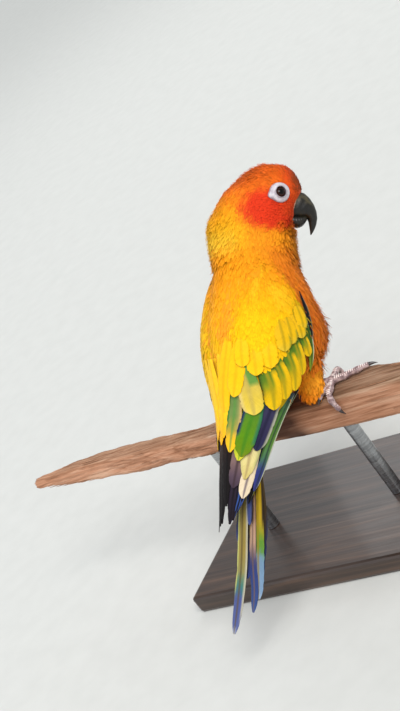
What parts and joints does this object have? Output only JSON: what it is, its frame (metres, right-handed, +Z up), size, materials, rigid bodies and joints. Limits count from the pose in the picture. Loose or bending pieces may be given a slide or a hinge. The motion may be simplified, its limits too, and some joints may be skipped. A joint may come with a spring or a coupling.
{
  "type": "sun conure, still life-size model on a perch",
  "caption": "Life-size sun conure with folded wings and long tail, head turned, gripping a cut length of rough timber on a plain display stand.",
  "frame": {"origin": "on the floor, under the middle of the part's bounding box", "axes": "+Z up; the perch lies along X with its longer free end towards +X; the bird faces -Y, its own right side is towards -X and its tail reaches towards +Y"},
  "size_m": [0.3094, 0.1882, 0.2075],
  "materials": {
    "face_plumage": "soft small feathers",
    "nape_plumage": "soft small feathers",
    "breast_plumage": "soft small feathers",
    "wing_plumage": "smooth overlapping vanes",
    "tail_plumage": "smooth overlapping vanes",
    "bill_horn": "semi-gloss horn",
    "eye_glass": "wet gloss",
    "foot_skin": "scaly skin",
    "claw_horn": "semi-gloss horn",
    "timber": "rough-sawn",
    "base_wood": "satin varnish",
    "rod_metal": "brushed"
  },
  "bodies": {
    "root": {"bill_lower": "bill_horn", "bill_upper": "bill_horn", "claw_left_1": "claw_horn", "claw_left_2": "claw_horn", "claw_left_3": "claw_horn", "claw_left_4": "claw_horn", "claw_right_1": "claw_horn", "claw_right_2": "claw_horn", "claw_right_3": "claw_horn", "claw_right_4": "claw_horn", "eye_left": "eye_glass", "eye_right": "eye_glass", "foot_left": "foot_skin", "foot_right": "foot_skin", "head": "face_plumage", "neck": "nape_plumage", "perch": "timber", "stand_base": "base_wood", "stand_rod_1": "rod_metal", "stand_rod_2": "rod_metal", "tail": "tail_plumage", "thigh_left": "breast_plumage", "thigh_right": "breast_plumage", "torso": "breast_plumage", "wing_left": "wing_plumage", "wing_right": "wing_plumage"}
  },
  "joints": []
}
